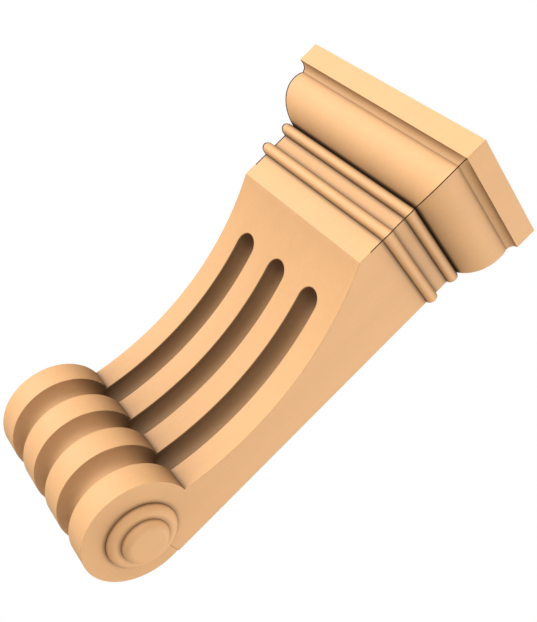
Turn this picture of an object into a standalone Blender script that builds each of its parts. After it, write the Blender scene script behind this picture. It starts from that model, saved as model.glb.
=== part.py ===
"""A wooden corbel bracket, carved from one block.

A moulded cap stands on a plain block. Below the block the front is hollowed to a long curve
with round-nosed flutes, and the foot is a grooved scroll with a turned rosette on each side.

Units are metres. +X is to the right and -Y to the front, and the flat back lies in the plane
Y = 0. The origin is in the middle of the flat back, where the bracket is fixed to a wall.
A drop is a distance below the top face.
"""

import math

import bmesh
import bpy
from mathutils import Vector

# Block
BODY_WIDTH = 0.0780
BLOCK_DEPTH = 0.0402
BACK_LENGTH = 0.1738

# Cap, from the top down
SLAB_PROJECTION = 0.0120
SLAB_THICKNESS = 0.0088
COVE_RADIUS = 0.00284
OVOLO_RADIUS = 0.0148
OVOLO_PROJECTION = 0.0097
BEAD_RADIUS = 0.0024
BEAD_SPACING = 0.0107

# Hollow front
ARRIS_DROP = 0.0559
WAIST_DROP = 0.1252
WAIST_THICKNESS = 0.0179

# Scroll foot
SCROLL_RADIUS = 0.0219
SCROLL_DROP = 0.1763
WALL_CLEARANCE = 0.0004

# Flutes in the hollow front and grooves round the scroll, on the same centre lines
FLUTE_COUNT = 3
FLUTE_PITCH = 0.0223
FLUTE_WIDTH = 0.0106
FLUTE_DEPTH = 0.0055
FLUTE_TOP_DROP = 0.0716
GROOVE_WIDTH = 0.0111
GROOVE_DEPTH = 0.0051

# Rosette on each side of the scroll: a button on a ring, each with a quarter-round edge
ROSETTE_SETBACK = 0.0209
RING_RADIUS = 0.0138
RING_HEIGHT = 0.0030
BUTTON_RADIUS = 0.0092
BUTTON_HEIGHT = 0.0031

# Facets
CAP_STEP = math.radians(10)
HOLLOW_STEP = math.radians(3)
FLUTE_STEP = math.radians(15)
ROSETTE_STEP = math.radians(18)
GROOVE_SEGMENTS = 8
SCROLL_SEGMENTS = 56
ROSETTE_SEGMENTS = 48
WELD = 1e-6
FLAT_ANGLE = math.radians(0.05)
SHARP_ANGLE = math.radians(30)

HALF_WIDTH = BODY_WIDTH / 2
TOP = BACK_LENGTH / 2
HOLLOW_RISE = BLOCK_DEPTH - WAIST_THICKNESS
HOLLOW_RADIUS = (HOLLOW_RISE**2 + (WAIST_DROP - ARRIS_DROP) ** 2) / (2 * HOLLOW_RISE)
HOLLOW_CENTRE = Vector((0, -WAIST_THICKNESS - HOLLOW_RADIUS, TOP - WAIST_DROP))
SCROLL_CENTRE = Vector((0, -SCROLL_RADIUS - WALL_CLEARANCE, TOP - SCROLL_DROP))
ROSETTE_CENTRE = Vector((0, -ROSETTE_SETBACK, TOP - SCROLL_DROP))
ACROSS = Vector((1, 0, 0))


def arc(centre, radius, start, end, step):
    """Points (across, up) on a circle from one angle to another, both ends included."""
    count = math.ceil(abs(end - start) / step)
    angles = [start + (end - start) * i / count for i in range(count + 1)]
    return [(centre[0] + radius * math.cos(a), centre[1] + radius * math.sin(a)) for a in angles]


def cap_profile():
    """(projection, z) down the cap: slab, cove, ovolo and two beads on the plane of the block.

    The ovolo starts at the foot of the cove, or at its widest if the cove ends further out.
    """
    cove_foot = (SLAB_PROJECTION - COVE_RADIUS, TOP - SLAB_THICKNESS - COVE_RADIUS)
    cove = arc((SLAB_PROJECTION, cove_foot[1]), COVE_RADIUS, math.pi / 2, math.pi, CAP_STEP)
    axis = OVOLO_PROJECTION - OVOLO_RADIUS
    start = math.acos(min(cove_foot[0] - axis, OVOLO_RADIUS) / OVOLO_RADIUS)
    end = -math.acos(-axis / OVOLO_RADIUS)
    belly = (axis, cove_foot[1] - OVOLO_RADIUS * math.sin(start))
    ovolo = arc(belly, OVOLO_RADIUS, start, end, CAP_STEP)
    upper_bead = (0, ovolo[-1][1] - BEAD_RADIUS)
    lower_bead = (0, upper_bead[1] - BEAD_SPACING)
    profile = [(SLAB_PROJECTION, TOP), *cove, *ovolo]
    for bead in (upper_bead, lower_bead):
        profile += arc(bead, BEAD_RADIUS, math.pi / 2, -math.pi / 2, 2 * CAP_STEP)
    return profile


def hollow_angle(z):
    """Angle about the hollow's centre at which its curve has the height z."""
    return math.asin((z - HOLLOW_CENTRE.z) / HOLLOW_RADIUS)


def hollow_profile():
    """(y, z) down the hollow front, from the arris to where the flat back ends."""
    start = hollow_angle(TOP - ARRIS_DROP)
    end = hollow_angle(TOP - BACK_LENGTH)
    return arc(HOLLOW_CENTRE.yz, HOLLOW_RADIUS, start, end, HOLLOW_STEP)


def new_object(name, mesh):
    """A linked object made of a finished bmesh, with its normals pointing out."""
    bmesh.ops.recalc_face_normals(mesh, faces=mesh.faces)
    data = bpy.data.meshes.new(name)
    mesh.to_mesh(data)
    mesh.free()
    made = bpy.data.objects.new(name, data)
    bpy.context.collection.objects.link(made)
    return made


def close_ends(mesh):
    """Fills every open end of the mesh with one face."""
    bmesh.ops.remove_doubles(mesh, verts=mesh.verts, dist=WELD)
    bmesh.ops.holes_fill(mesh, edges=[edge for edge in mesh.edges if edge.is_boundary])


def make_body():
    """The cap, block and hollow front as a stack of rectangles that all reach back to the wall."""
    sections = [(HALF_WIDTH + p, -BLOCK_DEPTH - p, z) for p, z in cap_profile()]
    sections += [(HALF_WIDTH, y, z) for y, z in hollow_profile()]
    mesh = bmesh.new()
    half, front, z = sections[0]
    corners = [(half, 0, z), (-half, 0, z), (-half, front, z), (half, front, z)]
    rim = [mesh.verts.new(corner) for corner in corners]
    edges = [mesh.edges.new((rim[i - 1], rim[i])) for i in range(len(rim))]
    for half, front, z in sections[1:]:
        extruded = bmesh.ops.extrude_edge_only(mesh, edges=edges)["geom"]
        rim = {item for item in extruded if isinstance(item, bmesh.types.BMVert)}
        new_edges = [item for item in extruded if isinstance(item, bmesh.types.BMEdge)]
        edges = [edge for edge in new_edges if rim.issuperset(edge.verts)]
        for vert in rim:
            vert.co = (math.copysign(half, vert.co.x), front if vert.co.y < 0 else 0, z)
    close_ends(mesh)
    return new_object("corbel", mesh)


def make_flute_cutter(x):
    """A round-nosed channel along the hollow, as a ball-ended cutter leaves it."""
    radius = FLUTE_WIDTH / 2
    start = hollow_angle(TOP - FLUTE_TOP_DROP - radius)
    end = hollow_angle(SCROLL_CENTRE.z)
    normal = Vector((0, -math.cos(start), -math.sin(start)))
    nose = HOLLOW_CENTRE - normal * HOLLOW_RADIUS + ACROSS * x
    ball = nose + normal * (radius - FLUTE_DEPTH)
    quarter = arc((0, 0), radius, -math.pi / 2, 0, FLUTE_STEP)
    lid = nose + normal * FLUTE_DEPTH
    points = [ball + ACROSS * across + normal * up for across, up in quarter]
    points += [lid + ACROSS * radius, lid]
    mesh = bmesh.new()
    verts = [mesh.verts.new(point) for point in points]
    edges = [mesh.edges.new(pair) for pair in zip(verts, verts[1:])]
    turn_steps = math.ceil(math.pi / FLUTE_STEP)
    bmesh.ops.spin(
        mesh, geom=verts + edges, cent=nose, axis=normal, angle=math.pi, steps=turn_steps
    )
    bmesh.ops.remove_doubles(mesh, verts=mesh.verts, dist=WELD)
    rim = [edge for edge in mesh.edges if edge.is_boundary]
    run_steps = math.ceil((start - end) / HOLLOW_STEP)
    bmesh.ops.spin(
        mesh, geom=rim, cent=HOLLOW_CENTRE, axis=ACROSS, angle=end - start, steps=run_steps
    )
    close_ends(mesh)
    return new_object("flute_cutter", mesh)


def make_turned(name, profile, centre, segments):
    """A solid turned about a line across the bracket, from its (x, radius) profile."""
    mesh = bmesh.new()
    verts = [mesh.verts.new(centre + Vector((x, radius, 0))) for x, radius in profile]
    edges = [mesh.edges.new(pair) for pair in zip(verts, verts[1:])]
    bmesh.ops.spin(
        mesh,
        geom=verts + edges,
        cent=centre,
        axis=ACROSS,
        angle=math.tau,
        steps=segments,
        use_merge=True,
    )
    close_ends(mesh)
    return new_object(name, mesh)


def groove_profile(x):
    """(x, radius) across one groove round the scroll, from its left edge to its right edge."""
    half_angle = 2 * math.atan2(GROOVE_DEPTH, GROOVE_WIDTH / 2)
    curve = GROOVE_WIDTH / 2 / math.sin(half_angle)
    centre = (x, SCROLL_RADIUS - GROOVE_DEPTH + curve)
    start = -math.pi / 2 - half_angle
    return arc(centre, curve, start, start + 2 * half_angle, 2 * half_angle / GROOVE_SEGMENTS)


def scroll_profile(centres):
    """(x, radius) along the scroll, from its left side to its right side."""
    grooves = [point for x in centres for point in groove_profile(x)]
    return [(-HALF_WIDTH, SCROLL_RADIUS), *grooves, (HALF_WIDTH, SCROLL_RADIUS)]


def rosette_profile():
    """(x, radius) along both rosettes and the core that joins them inside the scroll."""
    ring_edge = (HALF_WIDTH, RING_RADIUS - RING_HEIGHT)
    ring = arc(ring_edge, RING_HEIGHT, math.pi / 2, 0, ROSETTE_STEP)
    button_edge = (HALF_WIDTH + RING_HEIGHT, BUTTON_RADIUS - BUTTON_HEIGHT)
    button = arc(button_edge, BUTTON_HEIGHT, math.pi / 2, 0, ROSETTE_STEP)
    right = ring + button
    return [(-x, radius) for x, radius in reversed(right)] + right


def combine(target, tool, operation):
    """Cuts the tool out of the target, or joins it on, and removes the tool."""
    modifier = target.modifiers.new(operation.title(), "BOOLEAN")
    modifier.object = tool
    modifier.operation = operation
    modifier.solver = "EXACT"
    graph = bpy.context.evaluated_depsgraph_get()
    result = bpy.data.meshes.new_from_object(target.evaluated_get(graph))
    target.modifiers.clear()
    target.data = result
    bpy.data.objects.remove(tool)


def wood():
    """Pale close-grained hardwood, sanded smooth."""
    material = bpy.data.materials.new("pale_hardwood")
    material.use_nodes = True
    shader = material.node_tree.nodes["Principled BSDF"]
    shader.inputs["Base Color"].default_value = (0.86, 0.56, 0.31, 1)
    shader.inputs["Roughness"].default_value = 0.55
    shader.inputs["Metallic"].default_value = 0
    return material


def finish(target):
    """Merges flat facets, shades the curves smooth and gives the wood its colour."""
    mesh = bmesh.new()
    mesh.from_mesh(target.data)
    bmesh.ops.remove_doubles(mesh, verts=mesh.verts, dist=WELD)
    bmesh.ops.dissolve_limit(mesh, angle_limit=FLAT_ANGLE, verts=mesh.verts, edges=mesh.edges)
    mesh.to_mesh(target.data)
    mesh.free()
    target.data.shade_smooth()
    target.data.set_sharp_from_angle(angle=SHARP_ANGLE)
    target.data.materials.clear()
    target.data.materials.append(wood())


def main():
    for old in list(bpy.data.objects):
        bpy.data.objects.remove(old)
    centres = [FLUTE_PITCH * (i - (FLUTE_COUNT - 1) / 2) for i in range(FLUTE_COUNT)]
    corbel = make_body()
    for x in centres:
        combine(corbel, make_flute_cutter(x), "DIFFERENCE")
    scroll = make_turned("scroll", scroll_profile(centres), SCROLL_CENTRE, SCROLL_SEGMENTS)
    combine(corbel, scroll, "UNION")
    rosettes = make_turned("rosettes", rosette_profile(), ROSETTE_CENTRE, ROSETTE_SEGMENTS)
    combine(corbel, rosettes, "UNION")
    finish(corbel)


main()
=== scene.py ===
"""A wooden corbel bracket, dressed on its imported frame.

The corbel is one carved block. This file makes it again with eased edges, mitre lines at the
cap's front corners and sanded wood, in the place of the plain CAD solid, and sets up a plain
studio round it. Lengths are in metres, and a drop is a distance below the top face.
"""

import math

import bmesh
import bpy
from bpy.props import FloatProperty, FloatVectorProperty, IntProperty, PointerProperty
from mathutils import Matrix, Vector


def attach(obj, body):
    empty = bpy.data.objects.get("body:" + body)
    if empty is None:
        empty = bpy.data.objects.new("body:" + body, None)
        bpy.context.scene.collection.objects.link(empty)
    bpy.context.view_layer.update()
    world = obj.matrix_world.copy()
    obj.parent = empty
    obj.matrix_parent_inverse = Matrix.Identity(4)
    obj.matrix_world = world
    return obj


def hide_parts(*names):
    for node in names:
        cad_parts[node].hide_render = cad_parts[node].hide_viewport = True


bl_info = {
    "name": "Wooden Corbel Bracket",
    "version": (1, 0, 0),
    "blender": (4, 5, 0),
    "location": "View3D > Sidebar > Corbel",
    "description": "Carves a fluted wooden corbel with a moulded cap and a scroll foot",
    "category": "Add Mesh",
}

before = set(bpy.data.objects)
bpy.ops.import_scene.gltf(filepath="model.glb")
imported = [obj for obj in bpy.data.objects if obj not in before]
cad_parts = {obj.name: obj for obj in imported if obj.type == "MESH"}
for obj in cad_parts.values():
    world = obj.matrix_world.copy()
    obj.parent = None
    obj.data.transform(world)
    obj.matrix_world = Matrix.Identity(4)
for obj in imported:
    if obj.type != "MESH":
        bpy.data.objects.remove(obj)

# Shape of the solid that this piece stands for, the same as in its CAD source
BLOCK_DEPTH = 0.0402
BACK_LENGTH = 0.1738
SLAB_THICKNESS = 0.0088
COVE_RADIUS = 0.00284
OVOLO_RADIUS = 0.0148
OVOLO_PROJECTION = 0.0097
BEAD_SPACING = 0.0107
ARRIS_DROP = 0.0559
WAIST_DROP = 0.1252
WAIST_THICKNESS = 0.0179
SCROLL_RADIUS = 0.0219
SCROLL_DROP = 0.1763
WALL_CLEARANCE = 0.0004
FLUTE_TOP_DROP = 0.0716
ROSETTE_SETBACK = 0.0209
RING_RADIUS = 0.0138
RING_HEIGHT = 0.0030
BUTTON_RADIUS = 0.0092
BUTTON_HEIGHT = 0.0031

# Fine lines on the surface. The spread of the glue is in half widths of the mitre line
QUIRK_DEPTH = 0.00018
MITRE_DEPTH = 0.00035
MITRE_HALF_WIDTH = 0.00026
MITRE_END_DROP = 0.0507
GLUE_SPREAD = 1.3
SEAM_WIDTH = 0.00016

# Smoothness of the curves
CAP_STEP = math.radians(4)
BEAD_STEP = math.radians(10)
HOLLOW_STEP = math.radians(1)
FLUTE_STEP = math.radians(7.5)
ROSETTE_STEP = math.radians(9)
GROOVE_SEGMENTS = 20
SCROLL_SEGMENTS = 192
ROSETTE_SEGMENTS = 128
FLOOR_SEGMENTS = 96

# Small lengths and limits that the shaping needs. WHOLE_STEP is the share of a step that is
# let go, PLANE_DIGITS the decimals that a side's place is rounded to, and MOST_EASED the share
# of the line beside a corner that its easing may take
LID_HEIGHT = 0.001
ARRIS_LEAD = 0.001
SCROLL_END_HEIGHT = 0.002
MITRE_END_LENGTH = 0.0001
WELD = 1e-6
WHOLE_STEP = 1e-6
PLANE_DIGITS = 7
MOST_EASED = 0.45
CORNER_ANGLE = math.radians(30)
SHARP_ANGLE = math.radians(50)

# Figure of the wood, and how much darker its colour is at the foot
FIBRE_WIDTH = 0.0007
BAND_SPACING = 0.006
FIGURE_LENGTHENING = 0.03
FOOT_TONE = 0.92

# Painted shade in the recesses: how far off the wood that closes a spot in may stand, and the
# powers that the openness of a spot is raised to. The last two are shares of the others
HOLLOW_REACH = 0.15
CORNER_REACH = 0.0018
CORNER_SHADE = 1.6
FLUTE_SHADE = 2.0
SCROLL_SHADE = 0.8
CAP_SHADE_SHARE = 0.85
ROSETTE_SHADE_SHARE = 0.15

TOP = BACK_LENGTH / 2
HOLLOW_RISE = BLOCK_DEPTH - WAIST_THICKNESS
HOLLOW_RADIUS = (HOLLOW_RISE**2 + (WAIST_DROP - ARRIS_DROP) ** 2) / (2 * HOLLOW_RISE)
HOLLOW_CENTRE = Vector((0, -WAIST_THICKNESS - HOLLOW_RADIUS, TOP - WAIST_DROP))
SCROLL_CENTRE = Vector((0, -SCROLL_RADIUS - WALL_CLEARANCE, TOP - SCROLL_DROP))
ROSETTE_CENTRE = Vector((0, -ROSETTE_SETBACK, TOP - SCROLL_DROP))
ACROSS = Vector((1, 0, 0))

# Soft lights: name, degrees round from the front to the right, degrees up, spread and strength
LIGHTS = (
    ("front_left", -45, 0, 45, 2.85),
    ("front", 0, 30, 45, 2.0),
    ("right", 85, 0, 45, 1.35),
    ("back_right", 150, 10, 45, 2.1),
)

# Camera at the photograph's viewing angle
CAMERA_PLACE = (0.28463664, -0.3019415, -0.01398391)
CAMERA_RIGHT = Vector((0.5161, 0.4823, 0.7079))
CAMERA_DOWN = Vector((0.4864, 0.5152, -0.7057))
CAMERA_FORWARD = Vector((-0.7050, 0.7085, 0.0313))
CAMERA_LENS = 60.9387


def linear(hex_colour):
    """An sRGB hex colour such as "#EAB57F" as linear red, green and blue."""
    values = [int(hex_colour[i : i + 2], 16) / 255 for i in (1, 3, 5)]
    return tuple(v / 12.92 if v <= 0.04045 else ((v + 0.055) / 1.055) ** 2.4 for v in values)


class CorbelSizes(bpy.types.PropertyGroup):
    """Sizes of the corbel that can be changed without moving its parts."""

    body_width: FloatProperty(
        name="Body width",
        description="Width of the block, the hollow and the scroll",
        default=0.0780,
        unit="LENGTH",
        subtype="DISTANCE",
    )
    slab_projection: FloatProperty(
        name="Slab projection",
        description="How far the slab of the cap stands out from the block",
        default=0.0120,
        unit="LENGTH",
        subtype="DISTANCE",
    )
    bead_radius: FloatProperty(
        name="Bead radius",
        description="Radius of the two beads under the ovolo",
        default=0.0024,
        unit="LENGTH",
        subtype="DISTANCE",
    )
    flute_count: IntProperty(
        name="Flutes",
        description="Number of flutes and of grooves in line with them",
        default=3,
        min=1,
        max=3,
    )
    flute_pitch: FloatProperty(
        name="Flute pitch",
        description="Distance between the centre lines of two flutes",
        default=0.0223,
        unit="LENGTH",
        subtype="DISTANCE",
    )
    flute_width: FloatProperty(
        name="Flute width",
        description="Width of a flute, which is that of its cutter",
        default=0.0106,
        unit="LENGTH",
        subtype="DISTANCE",
    )
    flute_depth: FloatProperty(
        name="Flute depth",
        description="Depth of a flute below the hollow",
        default=0.0055,
        unit="LENGTH",
        subtype="DISTANCE",
    )
    groove_width: FloatProperty(
        name="Groove width",
        description="Width of a groove round the scroll",
        default=0.0111,
        unit="LENGTH",
        subtype="DISTANCE",
    )
    groove_depth: FloatProperty(
        name="Groove depth",
        description="Depth of a groove round the scroll",
        default=0.0051,
        unit="LENGTH",
        subtype="DISTANCE",
    )
    eased_edge: FloatProperty(
        name="Eased edge",
        description="Radius that sanding leaves on the outer edges",
        default=0.00025,
        unit="LENGTH",
        subtype="DISTANCE",
    )


class WoodLook(bpy.types.PropertyGroup):
    """Colours of the wood, of the painted shade in its recesses and of the mitre line."""

    wood: FloatVectorProperty(
        name="Wood",
        description="Colour of the sanded wood in the light",
        default=linear("#EAB57F"),
        subtype="COLOR",
        size=3,
        min=0,
        max=1,
    )
    # Colour of the painted shade that darkens the recesses
    painted_shade: FloatVectorProperty(
        name="Recess",
        description="Colour that the wood darkens to in its deepest recesses",
        default=linear("#2E1B0E"),
        subtype="COLOR",
        size=3,
        min=0,
        max=1,
    )
    joint: FloatVectorProperty(
        name="Joint line",
        description="Colour of the dark line along a mitre",
        default=linear("#3E2614"),
        subtype="COLOR",
        size=3,
        min=0,
        max=1,
    )


class StudioLook(bpy.types.PropertyGroup):
    """Lights and floor of the studio."""

    light: FloatProperty(
        name="Light",
        description="Strength of all the soft lights together",
        default=1.0,
        min=0,
    )
    surround: FloatProperty(
        name="Surround",
        description="Strength of the light that the white surround gives",
        default=0.08,
        min=0,
    )
    floor_drop: FloatProperty(
        name="Floor drop",
        description="Distance of the floor below the middle of the corbel's back",
        default=0.6,
        unit="LENGTH",
        subtype="DISTANCE",
    )
    floor_radius: FloatProperty(
        name="Floor radius",
        description="Radius of the round floor",
        default=1.1,
        unit="LENGTH",
        subtype="DISTANCE",
    )
    floor: FloatVectorProperty(
        name="Floor",
        description="Colour of the painted floor",
        default=linear("#EDECEA"),
        subtype="COLOR",
        size=3,
        min=0,
        max=1,
    )


def arc(centre, radius, start, end, step):
    """Points (across, up) on a circle from one angle to another, both ends included."""
    count = max(1, math.ceil(abs(end - start) / step - WHOLE_STEP))
    angles = [start + (end - start) * i / count for i in range(count + 1)]
    return [(centre[0] + radius * math.cos(a), centre[1] + radius * math.sin(a)) for a in angles]


def eased(profile, radius):
    """The profile with its outer corners rounded, which are those where it turns to the right."""
    points = [Vector(point) for point in profile]
    made = [points[0]]
    for before, corner, after in zip(points, points[1:], points[2:]):
        a, b = corner - before, after - corner
        turn = -math.atan2(a.cross(b), a.dot(b))
        if turn < CORNER_ANGLE:
            made.append(corner)
            continue
        reach = min(radius * math.tan(turn / 2), MOST_EASED * a.length, MOST_EASED * b.length)
        start, end = corner - a.normalized() * reach, corner + b.normalized() * reach
        middle = (start + end) / 2
        crown = corner.lerp(middle, math.cos(turn / 2) / (1 + math.cos(turn / 2)))
        made += [start, crown, end]
    return [tuple(point) for point in [*made, points[-1]]]


def cap_profile(sizes):
    """(projection, z) down the cap: slab, cove, quirk, ovolo and two beads on the block's plane.

    The first point lies on the top face, so that the slab's top edge is a corner to be eased.
    """
    slab = sizes.slab_projection
    cove_foot = (slab - COVE_RADIUS, TOP - SLAB_THICKNESS - COVE_RADIUS)
    cove = arc((slab, cove_foot[1]), COVE_RADIUS, math.pi / 2, math.pi, 2 * CAP_STEP)
    axis = OVOLO_PROJECTION - OVOLO_RADIUS
    start = math.acos(min(cove_foot[0] - axis, OVOLO_RADIUS) / OVOLO_RADIUS)
    end = -math.acos(-axis / OVOLO_RADIUS)
    belly = (axis, cove_foot[1] - OVOLO_RADIUS * math.sin(start))
    ovolo = arc(belly, OVOLO_RADIUS, start, end, CAP_STEP)
    upper_bead = (0, ovolo[-1][1] - sizes.bead_radius)
    lower_bead = (0, upper_bead[1] - BEAD_SPACING)
    quirk = (cove_foot[0] - QUIRK_DEPTH, cove_foot[1])
    profile = [(slab - SLAB_THICKNESS / 2, TOP), (slab, TOP), *cove[:-1], quirk, *ovolo[1:]]
    for bead in (upper_bead, lower_bead):
        profile += arc(bead, sizes.bead_radius, math.pi / 2, -math.pi / 2, BEAD_STEP)
    return profile


def hollow_angle(z):
    """Angle about the hollow's centre at which its curve has the height z."""
    return math.asin((z - HOLLOW_CENTRE.z) / HOLLOW_RADIUS)


def hollow_profile():
    """(depth, z) down the hollow front, from the arris to where the flat back ends."""
    start = hollow_angle(TOP - ARRIS_DROP)
    end = hollow_angle(TOP - BACK_LENGTH)
    centre = (-HOLLOW_CENTRE.y, HOLLOW_CENTRE.z)
    return arc(centre, HOLLOW_RADIUS, math.pi - start, math.pi - end, HOLLOW_STEP)


def body_outline(half, depth, z, sizes):
    """Corners of one level of the body, with a mitre line at each front corner of the cap."""
    drop = TOP - z
    if SLAB_THICKNESS + sizes.eased_edge < drop < MITRE_END_DROP:
        edge, corner = MITRE_HALF_WIDTH, MITRE_DEPTH
    else:
        edge, corner = sizes.eased_edge, sizes.eased_edge * (1 - math.cos(math.pi / 4))
    front_corner = [(half, edge - depth), (half - corner, corner - depth), (half - edge, -depth)]
    right = [(half, 0), *front_corner]
    return [Vector((x, y, z)) for x, y in right + [(-x, y) for x, y in reversed(right)]]


def put_in_order(mesh):
    """Orders vertices and faces by their place alone, so that each run cuts the same mesh."""
    corners = sorted(mesh.verts, key=lambda vert: vert.co[:])
    order = {vert: number for number, vert in enumerate(corners)}
    mesh.verts.sort(key=order.get)
    mesh.verts.index_update()
    faces = sorted(mesh.faces, key=lambda face: sorted(vert.index for vert in face.verts))
    order = {face: number for number, face in enumerate(faces)}
    mesh.faces.sort(key=order.get)


def new_piece(name, mesh):
    """A linked object made of a finished bmesh, with its normals pointing out."""
    bmesh.ops.recalc_face_normals(mesh, faces=mesh.faces)
    put_in_order(mesh)
    data = bpy.data.meshes.new(name)
    mesh.to_mesh(data)
    mesh.free()
    made = bpy.data.objects.new(name, data)
    bpy.context.scene.collection.objects.link(made)
    return made


def close_ends(mesh):
    """Fills every open end of the mesh with one face."""
    bmesh.ops.remove_doubles(mesh, verts=mesh.verts, dist=WELD)
    bmesh.ops.holes_fill(mesh, edges=[edge for edge in mesh.edges if edge.is_boundary])


def draw_line(mesh, points):
    """An open line of edges through the points."""
    verts = [mesh.verts.new(point) for point in points]
    return verts + [mesh.edges.new(pair) for pair in zip(verts, verts[1:])]


def make_body(sizes):
    """The cap, block and hollow front as a stack of outlines that all reach back to the wall."""
    half = sizes.body_width / 2
    cap = eased(cap_profile(sizes), sizes.eased_edge)[1:]
    levels = [(half + out, BLOCK_DEPTH + out, z) for out, z in cap]
    for rise in (MITRE_END_LENGTH, -MITRE_END_LENGTH):
        levels.append((half, BLOCK_DEPTH, TOP - MITRE_END_DROP + rise))
    front = [(BLOCK_DEPTH, TOP - ARRIS_DROP + ARRIS_LEAD), *hollow_profile()]
    levels += [(half, depth, z) for depth, z in eased(front, sizes.eased_edge * 2)]
    mesh = bmesh.new()
    rim = [mesh.verts.new(point) for point in body_outline(*levels[0], sizes)]
    edges = [mesh.edges.new((rim[i - 1], rim[i])) for i in range(len(rim))]
    for level in levels[1:]:
        extruded = bmesh.ops.extrude_edge_only(mesh, edges=edges)["geom"]
        fresh = {item for item in extruded if isinstance(item, bmesh.types.BMVert)}
        new_edges = [item for item in extruded if isinstance(item, bmesh.types.BMEdge)]
        edges = [edge for edge in new_edges if fresh.issuperset(edge.verts)]
        above = [{edge.other_vert(vert) for edge in vert.link_edges} for vert in rim]
        rim = [(linked & fresh).pop() for linked in above]
        for vert, point in zip(rim, body_outline(*level, sizes)):
            vert.co = point
    close_ends(mesh)
    return new_piece("corbel_wood", mesh)


def make_flute_cutter(sizes, x):
    """A round-nosed channel along the hollow, as a ball-ended cutter leaves it.

    Its lip leans out at 45 degrees, which eases the flute's edge, and ends above the surface.
    """
    radius, depth = sizes.flute_width / 2, sizes.flute_depth
    start = hollow_angle(TOP - FLUTE_TOP_DROP - radius)
    end = hollow_angle(SCROLL_CENTRE.z)
    normal = Vector((0, -math.cos(start), -math.sin(start)))
    nose = HOLLOW_CENTRE - normal * HOLLOW_RADIUS + ACROSS * x
    wall = arc((0, radius - depth), radius, -math.pi / 2, 0, FLUTE_STEP)
    lip = (depth + LID_HEIGHT, LID_HEIGHT)
    outline = [*wall, lip, (0, LID_HEIGHT)]
    points = [nose + ACROSS * across + normal * up for across, up in outline]
    mesh = bmesh.new()
    bmesh.ops.spin(
        mesh,
        geom=draw_line(mesh, points),
        cent=nose,
        axis=normal,
        angle=math.pi,
        steps=math.ceil(math.pi / FLUTE_STEP),
    )
    bmesh.ops.remove_doubles(mesh, verts=mesh.verts, dist=WELD)
    bmesh.ops.spin(
        mesh,
        geom=[edge for edge in mesh.edges if edge.is_boundary],
        cent=HOLLOW_CENTRE,
        axis=ACROSS,
        angle=end - start,
        steps=math.ceil((start - end) / HOLLOW_STEP),
    )
    close_ends(mesh)
    return new_piece("flute_cutter", mesh)


def make_turned(name, profile, centre, segments):
    """A solid turned about a line across the bracket, from its (x, radius) profile.

    The turning drifts by less than a micrometre along the line, and is set right, so that the
    sides lie exactly in the plane of the body's sides.
    """
    mesh = bmesh.new()
    bmesh.ops.spin(
        mesh,
        geom=draw_line(mesh, [centre + Vector((x, radius, 0)) for x, radius in profile]),
        cent=centre,
        axis=ACROSS,
        angle=math.tau,
        steps=segments,
        use_merge=True,
    )
    for vert in mesh.verts:
        vert.co.x = round(vert.co.x, PLANE_DIGITS)
    close_ends(mesh)
    return new_piece(name, mesh)


def groove_profile(sizes, x):
    """(x, radius) across one groove round the scroll, from its left edge to its right edge."""
    half_angle = 2 * math.atan2(sizes.groove_depth, sizes.groove_width / 2)
    curve = sizes.groove_width / 2 / math.sin(half_angle)
    centre = (x, SCROLL_RADIUS - sizes.groove_depth + curve)
    start = -math.pi / 2 - half_angle
    return arc(centre, curve, start, start + 2 * half_angle, 2 * half_angle / GROOVE_SEGMENTS)


def scroll_profile(sizes, centres):
    """(x, radius) along the scroll, from its left side to its right side, with eased ridges."""
    half = sizes.body_width / 2
    grooves = [point for x in centres for point in groove_profile(sizes, x)]
    inner_radius = SCROLL_RADIUS - SCROLL_END_HEIGHT
    left = [(-half, inner_radius), (-half, SCROLL_RADIUS)]
    right = [(half, SCROLL_RADIUS), (half, inner_radius)]
    return eased([*left, *grooves, *right], sizes.eased_edge)


def rosette_profile(half):
    """(x, radius) along both rosettes and the core that joins them inside the scroll."""
    ring_edge = (half, RING_RADIUS - RING_HEIGHT)
    ring = arc(ring_edge, RING_HEIGHT, math.pi / 2, 0, ROSETTE_STEP)
    button_edge = (half + RING_HEIGHT, BUTTON_RADIUS - BUTTON_HEIGHT)
    button = arc(button_edge, BUTTON_HEIGHT, math.pi / 2, 0, ROSETTE_STEP)
    right = ring + button
    return [(-x, radius) for x, radius in reversed(right)] + right


def make_seam_cutter(half, side):
    """A square rod on its edge, for the fine seam from the rosette to the back."""
    mesh = bmesh.new()
    bmesh.ops.create_cube(mesh, size=1)
    length = ROSETTE_SETBACK - math.sqrt(RING_RADIUS**2 - (SCROLL_DROP - BACK_LENGTH) ** 2)
    bmesh.ops.scale(mesh, vec=(SEAM_WIDTH, length, SEAM_WIDTH), verts=mesh.verts)
    turn = Matrix.Rotation(math.pi / 4, 3, "Y")
    bmesh.ops.rotate(mesh, cent=(0, 0, 0), matrix=turn, verts=mesh.verts)
    place = (side * half, -length / 2, TOP - BACK_LENGTH)
    bmesh.ops.translate(mesh, vec=place, verts=mesh.verts)
    return new_piece("seam_cutter", mesh)


def combine(target, tool, operation):
    """Cuts the tool out of the target, or joins it on, and removes the tool."""
    modifier = target.modifiers.new(operation.title(), "BOOLEAN")
    modifier.object = tool
    modifier.operation = operation
    modifier.solver = "EXACT"
    graph = bpy.context.evaluated_depsgraph_get()
    result = bpy.data.meshes.new_from_object(target.evaluated_get(graph))
    target.modifiers.clear()
    mesh = bmesh.new()
    mesh.from_mesh(result)
    put_in_order(mesh)
    mesh.to_mesh(result)
    mesh.free()
    target.data = result
    bpy.data.objects.remove(tool)


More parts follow.
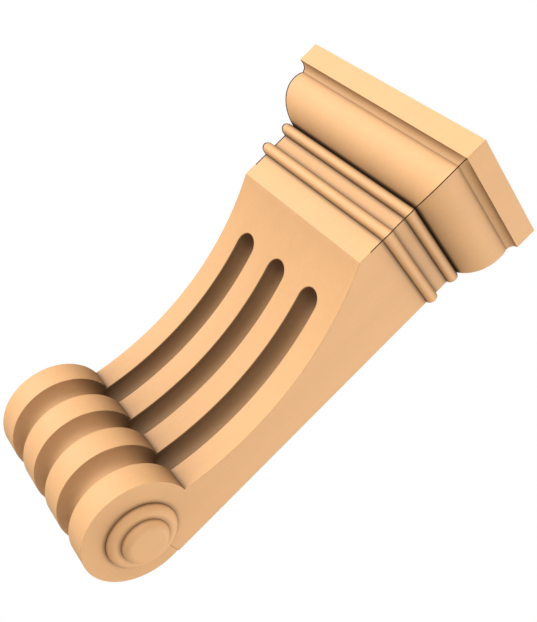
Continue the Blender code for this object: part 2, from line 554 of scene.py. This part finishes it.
def tidy_mesh(piece):
    """Merges the slivers that the cuts leave, and makes sure that the piece is closed."""
    mesh = bmesh.new()
    mesh.from_mesh(piece.data)
    bmesh.ops.remove_doubles(mesh, verts=mesh.verts, dist=WELD)
    bmesh.ops.dissolve_degenerate(mesh, edges=mesh.edges, dist=WELD)
    if not mesh.faces or any(not edge.is_manifold for edge in mesh.edges):
        raise RuntimeError(f"{piece.name} isn't a closed solid")
    mesh.to_mesh(piece.data)
    mesh.free()


def add_node(tree, kind, settings=None, **inputs):
    """A node of that kind with its settings, its inputs set to values or linked to sockets."""
    node = tree.nodes.new(kind)
    for name, value in (settings or {}).items():
        setattr(node, name, value)
    for name, value in inputs.items():
        key = int(name[1:]) if name[0] == "_" and name[1:].isdigit() else name.replace("_", " ")
        if isinstance(value, bpy.types.NodeSocket):
            tree.links.new(value, node.inputs[key])
        else:
            node.inputs[key].default_value = value
    return node


def sanded_lime(look, half):
    """Lime wood, planed, carved with round cutters and sanded, with no stain or varnish.

    It gives the eye a smooth matt peach-tan with hardly any figure: fine pale fibres up and
    down, broad faint bands of growth and a slightly darker tone towards the foot. A browner
    colour is painted into the recesses as shade, and old glue darkens the line along the mitres.
    """
    material = bpy.data.materials.new("sanded_lime")
    material.use_nodes = True
    tree = material.node_tree
    shader = tree.nodes["Principled BSDF"]
    place = tree.nodes.new("ShaderNodeTexCoord").outputs["Object"]
    smooth = {"interpolation_type": "SMOOTHSTEP"}

    # Fibres in lime are about 0.03 mm wide, too fine to show: they are drawn 0.7 mm wide
    along = add_node(tree, "ShaderNodeMapping", Vector=place, Scale=(1, 1, FIGURE_LENGTHENING))
    fibre = add_node(
        tree,
        "ShaderNodeTexNoise",
        Vector=along.outputs[0],
        Scale=1 / (2 * FIBRE_WIDTH),
        Detail=3,
    )
    band = add_node(
        tree,
        "ShaderNodeTexNoise",
        Vector=along.outputs[0],
        Scale=1 / (2 * BAND_SPACING),
        Detail=2,
    )
    mixed = add_node(
        tree,
        "ShaderNodeMix",
        {"data_type": "FLOAT"},
        _0=0.5,
        _2=fibre.outputs["Fac"],
        _3=band.outputs["Fac"],
    )
    tone = add_node(
        tree,
        "ShaderNodeMapRange",
        Value=mixed.outputs[0],
        From_Min=0.3,
        From_Max=0.7,
        To_Min=0.96,
        To_Max=1.03,
    )
    # The colour turns a little darker towards the foot
    spot = add_node(tree, "ShaderNodeSeparateXYZ", Vector=place)
    drift = add_node(
        tree,
        "ShaderNodeMapRange",
        Value=spot.outputs["Z"],
        From_Min=SCROLL_CENTRE.z,
        From_Max=TOP - ARRIS_DROP,
        To_Min=FOOT_TONE,
    )
    shade = add_node(
        tree, "ShaderNodeMath", {"operation": "MULTIPLY"}, _0=tone.outputs[0], _1=drift.outputs[0]
    )
    wood = add_node(
        tree,
        "ShaderNodeVectorMath",
        {"operation": "SCALE"},
        _0=tuple(look.wood),
        Scale=shade.outputs[0],
    )
    # Painted shade darkens the flutes most and the cap less. It is weaker on the scroll and
    # weakest on the rosettes, which stand proud. The last two millimetres of each corner
    # are darkest
    scroll_shade = add_node(
        tree,
        "ShaderNodeMapRange",
        smooth,
        Value=spot.outputs["Z"],
        From_Min=SCROLL_CENTRE.z + SCROLL_RADIUS * 0.6,
        From_Max=SCROLL_CENTRE.z + SCROLL_RADIUS,
        To_Min=SCROLL_SHADE,
        To_Max=FLUTE_SHADE,
    )
    cap_share = add_node(
        tree,
        "ShaderNodeMapRange",
        smooth,
        Value=spot.outputs["Z"],
        From_Min=TOP - ARRIS_DROP,
        From_Max=TOP - MITRE_END_DROP,
        To_Min=1.0,
        To_Max=CAP_SHADE_SHARE,
    )
    body_shade = add_node(
        tree,
        "ShaderNodeMath",
        {"operation": "MULTIPLY"},
        _0=scroll_shade.outputs[0],
        _1=cap_share.outputs[0],
    )
    side = add_node(tree, "ShaderNodeMath", {"operation": "ABSOLUTE"}, _0=spot.outputs["X"])
    proud_share = add_node(
        tree,
        "ShaderNodeMapRange",
        smooth,
        Value=side.outputs[0],
        From_Min=half,
        From_Max=half + RING_HEIGHT / 3,
        To_Min=1.0,
        To_Max=ROSETTE_SHADE_SHARE,
    )
    on_cap = add_node(
        tree,
        "ShaderNodeMath",
        {"operation": "GREATER_THAN"},
        _0=spot.outputs["Z"],
        _1=TOP - ARRIS_DROP,
    )
    rosette_share = add_node(
        tree,
        "ShaderNodeMath",
        {"operation": "MAXIMUM"},
        _0=proud_share.outputs[0],
        _1=on_cap.outputs[0],
    )
    shade_power = add_node(
        tree,
        "ShaderNodeMath",
        {"operation": "MULTIPLY"},
        _0=body_shade.outputs[0],
        _1=rosette_share.outputs[0],
    )
    closed_in = {"samples": 12, "only_local": True}
    hollow = add_node(tree, "ShaderNodeAmbientOcclusion", closed_in, Distance=HOLLOW_REACH)
    open_hollow = add_node(
        tree,
        "ShaderNodeMath",
        {"operation": "POWER"},
        _0=hollow.outputs["AO"],
        _1=shade_power.outputs[0],
    )
    corner = add_node(tree, "ShaderNodeAmbientOcclusion", closed_in, Distance=CORNER_REACH)
    open_corner = add_node(
        tree,
        "ShaderNodeMath",
        {"operation": "POWER"},
        _0=corner.outputs["AO"],
        _1=CORNER_SHADE,
    )
    unshaded = add_node(
        tree,
        "ShaderNodeMath",
        {"operation": "MULTIPLY"},
        _0=open_hollow.outputs[0],
        _1=open_corner.outputs[0],
    )
    # Painted shade: the wood is mixed towards the shade colour where the recesses close it in
    shaded_wood = add_node(
        tree,
        "ShaderNodeMix",
        {"data_type": "RGBA"},
        _0=unshaded.outputs[0],
        _6=(*look.painted_shade, 1),
        _7=wood.outputs[0],
    )

    # The mitre plane stands at 45 degrees to the front, through each corner of the block
    across = add_node(
        tree, "ShaderNodeMath", {"operation": "ADD"}, _0=side.outputs[0], _1=spot.outputs["Y"]
    )
    # The left mitre kept more of its glue, which spread over the front side of its line
    left = add_node(
        tree, "ShaderNodeMath", {"operation": "LESS_THAN"}, _0=spot.outputs["X"], _1=0.0
    )
    spread = MITRE_HALF_WIDTH * GLUE_SPREAD
    moved = add_node(
        tree,
        "ShaderNodeMath",
        {"operation": "MULTIPLY_ADD"},
        _0=left.outputs[0],
        _1=spread,
        _2=across.outputs[0],
    )
    reach = add_node(
        tree,
        "ShaderNodeMath",
        {"operation": "MULTIPLY_ADD"},
        _0=left.outputs[0],
        _1=spread,
        _2=MITRE_HALF_WIDTH,
    )
    near_plane = add_node(
        tree,
        "ShaderNodeMath",
        {"operation": "COMPARE"},
        _0=moved.outputs[0],
        _1=half - BLOCK_DEPTH,
        _2=reach.outputs[0],
    )
    middle_drop = (SLAB_THICKNESS + MITRE_END_DROP) / 2
    at_height = add_node(
        tree,
        "ShaderNodeMath",
        {"operation": "COMPARE"},
        _0=spot.outputs["Z"],
        _1=TOP - middle_drop,
        _2=MITRE_END_DROP - middle_drop,
    )
    line = add_node(
        tree,
        "ShaderNodeMath",
        {"operation": "MULTIPLY"},
        _0=near_plane.outputs[0],
        _1=at_height.outputs[0],
    )
    finished = add_node(
        tree,
        "ShaderNodeMix",
        {"data_type": "RGBA"},
        _0=line.outputs[0],
        _6=shaded_wood.outputs[2],
        _7=(*look.joint, 1),
    )
    tree.links.new(finished.outputs[2], shader.inputs["Base Color"])

    rough = add_node(
        tree,
        "ShaderNodeMapRange",
        Value=fibre.outputs["Fac"],
        From_Min=0.3,
        From_Max=0.7,
        To_Min=0.56,
        To_Max=0.66,
    )
    tree.links.new(rough.outputs[0], shader.inputs["Roughness"])
    bump = add_node(
        tree,
        "ShaderNodeBump",
        Strength=0.15,
        Distance=0.00004,
        Height=fibre.outputs["Fac"],
    )
    tree.links.new(bump.outputs[0], shader.inputs["Normal"])
    shader.inputs["IOR"].default_value = 1.5
    # Sanded end to end, the open pores send back about half of a smooth face's gloss
    shader.inputs["Specular IOR Level"].default_value = 0.25
    return material


def painted_floor(look):
    """Floorboards under matt white paint, which give the eye an even pale ground."""
    material = bpy.data.materials.new("painted_floor")
    material.use_nodes = True
    tree = material.node_tree
    shader = tree.nodes["Principled BSDF"]
    place = tree.nodes.new("ShaderNodeTexCoord").outputs["Object"]
    # Roller marks in the paint, 15 mm across
    marks = add_node(tree, "ShaderNodeTexNoise", Vector=place, Scale=1 / 0.03, Detail=2)
    tone = add_node(
        tree, "ShaderNodeMapRange", Value=marks.outputs["Fac"], To_Min=0.98, To_Max=1.02
    )
    paint = add_node(
        tree,
        "ShaderNodeVectorMath",
        {"operation": "SCALE"},
        _0=tuple(look.floor),
        Scale=tone.outputs[0],
    )
    tree.links.new(paint.outputs[0], shader.inputs["Base Color"])
    shader.inputs["Roughness"].default_value = 0.8
    return material


class CORBEL_OT_carve(bpy.types.Operator):
    """Carve the corbel in place of the plain solid."""

    bl_idname = "corbel.carve"
    bl_label = "Carve Corbel"

    def execute(self, context):
        sizes = context.scene.corbel_sizes
        look = context.scene.corbel_wood
        half = sizes.body_width / 2
        count = sizes.flute_count
        centres = [sizes.flute_pitch * (i - (count - 1) / 2) for i in range(count)]
        corbel = make_body(sizes)
        for x in centres:
            combine(corbel, make_flute_cutter(sizes, x), "DIFFERENCE")
        profile = scroll_profile(sizes, centres)
        scroll = make_turned("scroll", profile, SCROLL_CENTRE, SCROLL_SEGMENTS)
        combine(corbel, scroll, "UNION")
        rosettes = make_turned("rosettes", rosette_profile(half), ROSETTE_CENTRE, ROSETTE_SEGMENTS)
        combine(corbel, rosettes, "UNION")
        for side in (-1, 1):
            combine(corbel, make_seam_cutter(half, side), "DIFFERENCE")
        tidy_mesh(corbel)
        corbel.data.shade_smooth()
        corbel.data.set_sharp_from_angle(angle=SHARP_ANGLE)
        weighted = corbel.modifiers.new("Even shading", "WEIGHTED_NORMAL")
        weighted.keep_sharp = True
        corbel.data.materials.clear()
        corbel.data.materials.append(sanded_lime(look, half))
        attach(corbel, "root")
        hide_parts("corbel")
        return {"FINISHED"}


class CORBEL_OT_studio(bpy.types.Operator):
    """Set up the floor, the soft lights, the white surround and the camera."""

    bl_idname = "corbel.studio"
    bl_label = "Set Up Studio"

    def execute(self, context):
        look = context.scene.corbel_studio
        mesh = bmesh.new()
        bmesh.ops.create_circle(
            mesh, cap_ends=True, segments=FLOOR_SEGMENTS, radius=look.floor_radius
        )
        bmesh.ops.translate(mesh, vec=(0, 0, -look.floor_drop), verts=mesh.verts)
        floor = new_piece("floor", mesh)
        floor.data.materials.append(painted_floor(look))

        for name, azimuth, elevation, spread, strength in LIGHTS:
            light = bpy.data.lights.new(name, "SUN")
            light.energy = strength * look.light
            light.angle = math.radians(spread)
            lamp = bpy.data.objects.new(name, light)
            turn, rise = math.radians(azimuth), math.radians(elevation)
            lamp.location = Vector(
                (math.sin(turn) * math.cos(rise), -math.cos(turn) * math.cos(rise), math.sin(rise))
            )
            lamp.rotation_euler = lamp.location.to_track_quat("Z", "Y").to_euler()
            context.scene.collection.objects.link(lamp)

        world = bpy.data.worlds.new("white_surround")
        world.use_nodes = True
        tree = world.node_tree
        tree.nodes.clear()
        seen = tree.nodes.new("ShaderNodeLightPath").outputs["Is Camera Ray"]
        glow = add_node(tree, "ShaderNodeMapRange", Value=seen, To_Min=look.surround)
        surround = add_node(
            tree, "ShaderNodeBackground", Color=(1, 1, 1, 1), Strength=glow.outputs[0]
        )
        add_node(tree, "ShaderNodeOutputWorld", Surface=surround.outputs[0])
        context.scene.world = world
        context.scene.view_settings.view_transform = "Standard"

        camera = bpy.data.objects.new("camera", bpy.data.cameras.new("camera"))
        # The rounded axes aren't quite square to each other, and a quaternion makes them so
        turned = Matrix((CAMERA_RIGHT, -CAMERA_DOWN, -CAMERA_FORWARD)).transposed()
        square = turned.to_quaternion().to_matrix().to_4x4()
        camera.matrix_world = Matrix.Translation(CAMERA_PLACE) @ square
        camera.data.lens = CAMERA_LENS
        camera.data.sensor_width = 36
        camera.data.clip_start = 0.01
        context.scene.collection.objects.link(camera)
        context.scene.camera = camera
        return {"FINISHED"}


class CORBEL_PT_sidebar(bpy.types.Panel):
    """The steps that make the corbel, in order, with the sizes and colours they use."""

    bl_idname = "CORBEL_PT_sidebar"
    bl_label = "Wooden Corbel"
    bl_space_type = "VIEW_3D"
    bl_region_type = "UI"
    bl_category = "Corbel"

    def draw(self, context):
        scene = context.scene
        for settings, operator in (
            (scene.corbel_sizes, None),
            (scene.corbel_wood, CORBEL_OT_carve),
            (scene.corbel_studio, CORBEL_OT_studio),
        ):
            column = self.layout.column()
            for name in settings.__annotations__:
                column.prop(settings, name)
            if operator:
                column.operator(operator.bl_idname)


GROUPS = {"corbel_sizes": CorbelSizes, "corbel_wood": WoodLook, "corbel_studio": StudioLook}
CLASSES = (*GROUPS.values(), CORBEL_OT_carve, CORBEL_OT_studio, CORBEL_PT_sidebar)


def register():
    for made in CLASSES:
        bpy.utils.register_class(made)
    for name, group in GROUPS.items():
        setattr(bpy.types.Scene, name, PointerProperty(type=group))


def unregister():
    for name in GROUPS:
        delattr(bpy.types.Scene, name)
    for made in reversed(CLASSES):
        bpy.utils.unregister_class(made)


def main():
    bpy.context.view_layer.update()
    register()
    bpy.ops.corbel.carve()
    bpy.ops.corbel.studio()


if __name__ == "__main__":
    main()
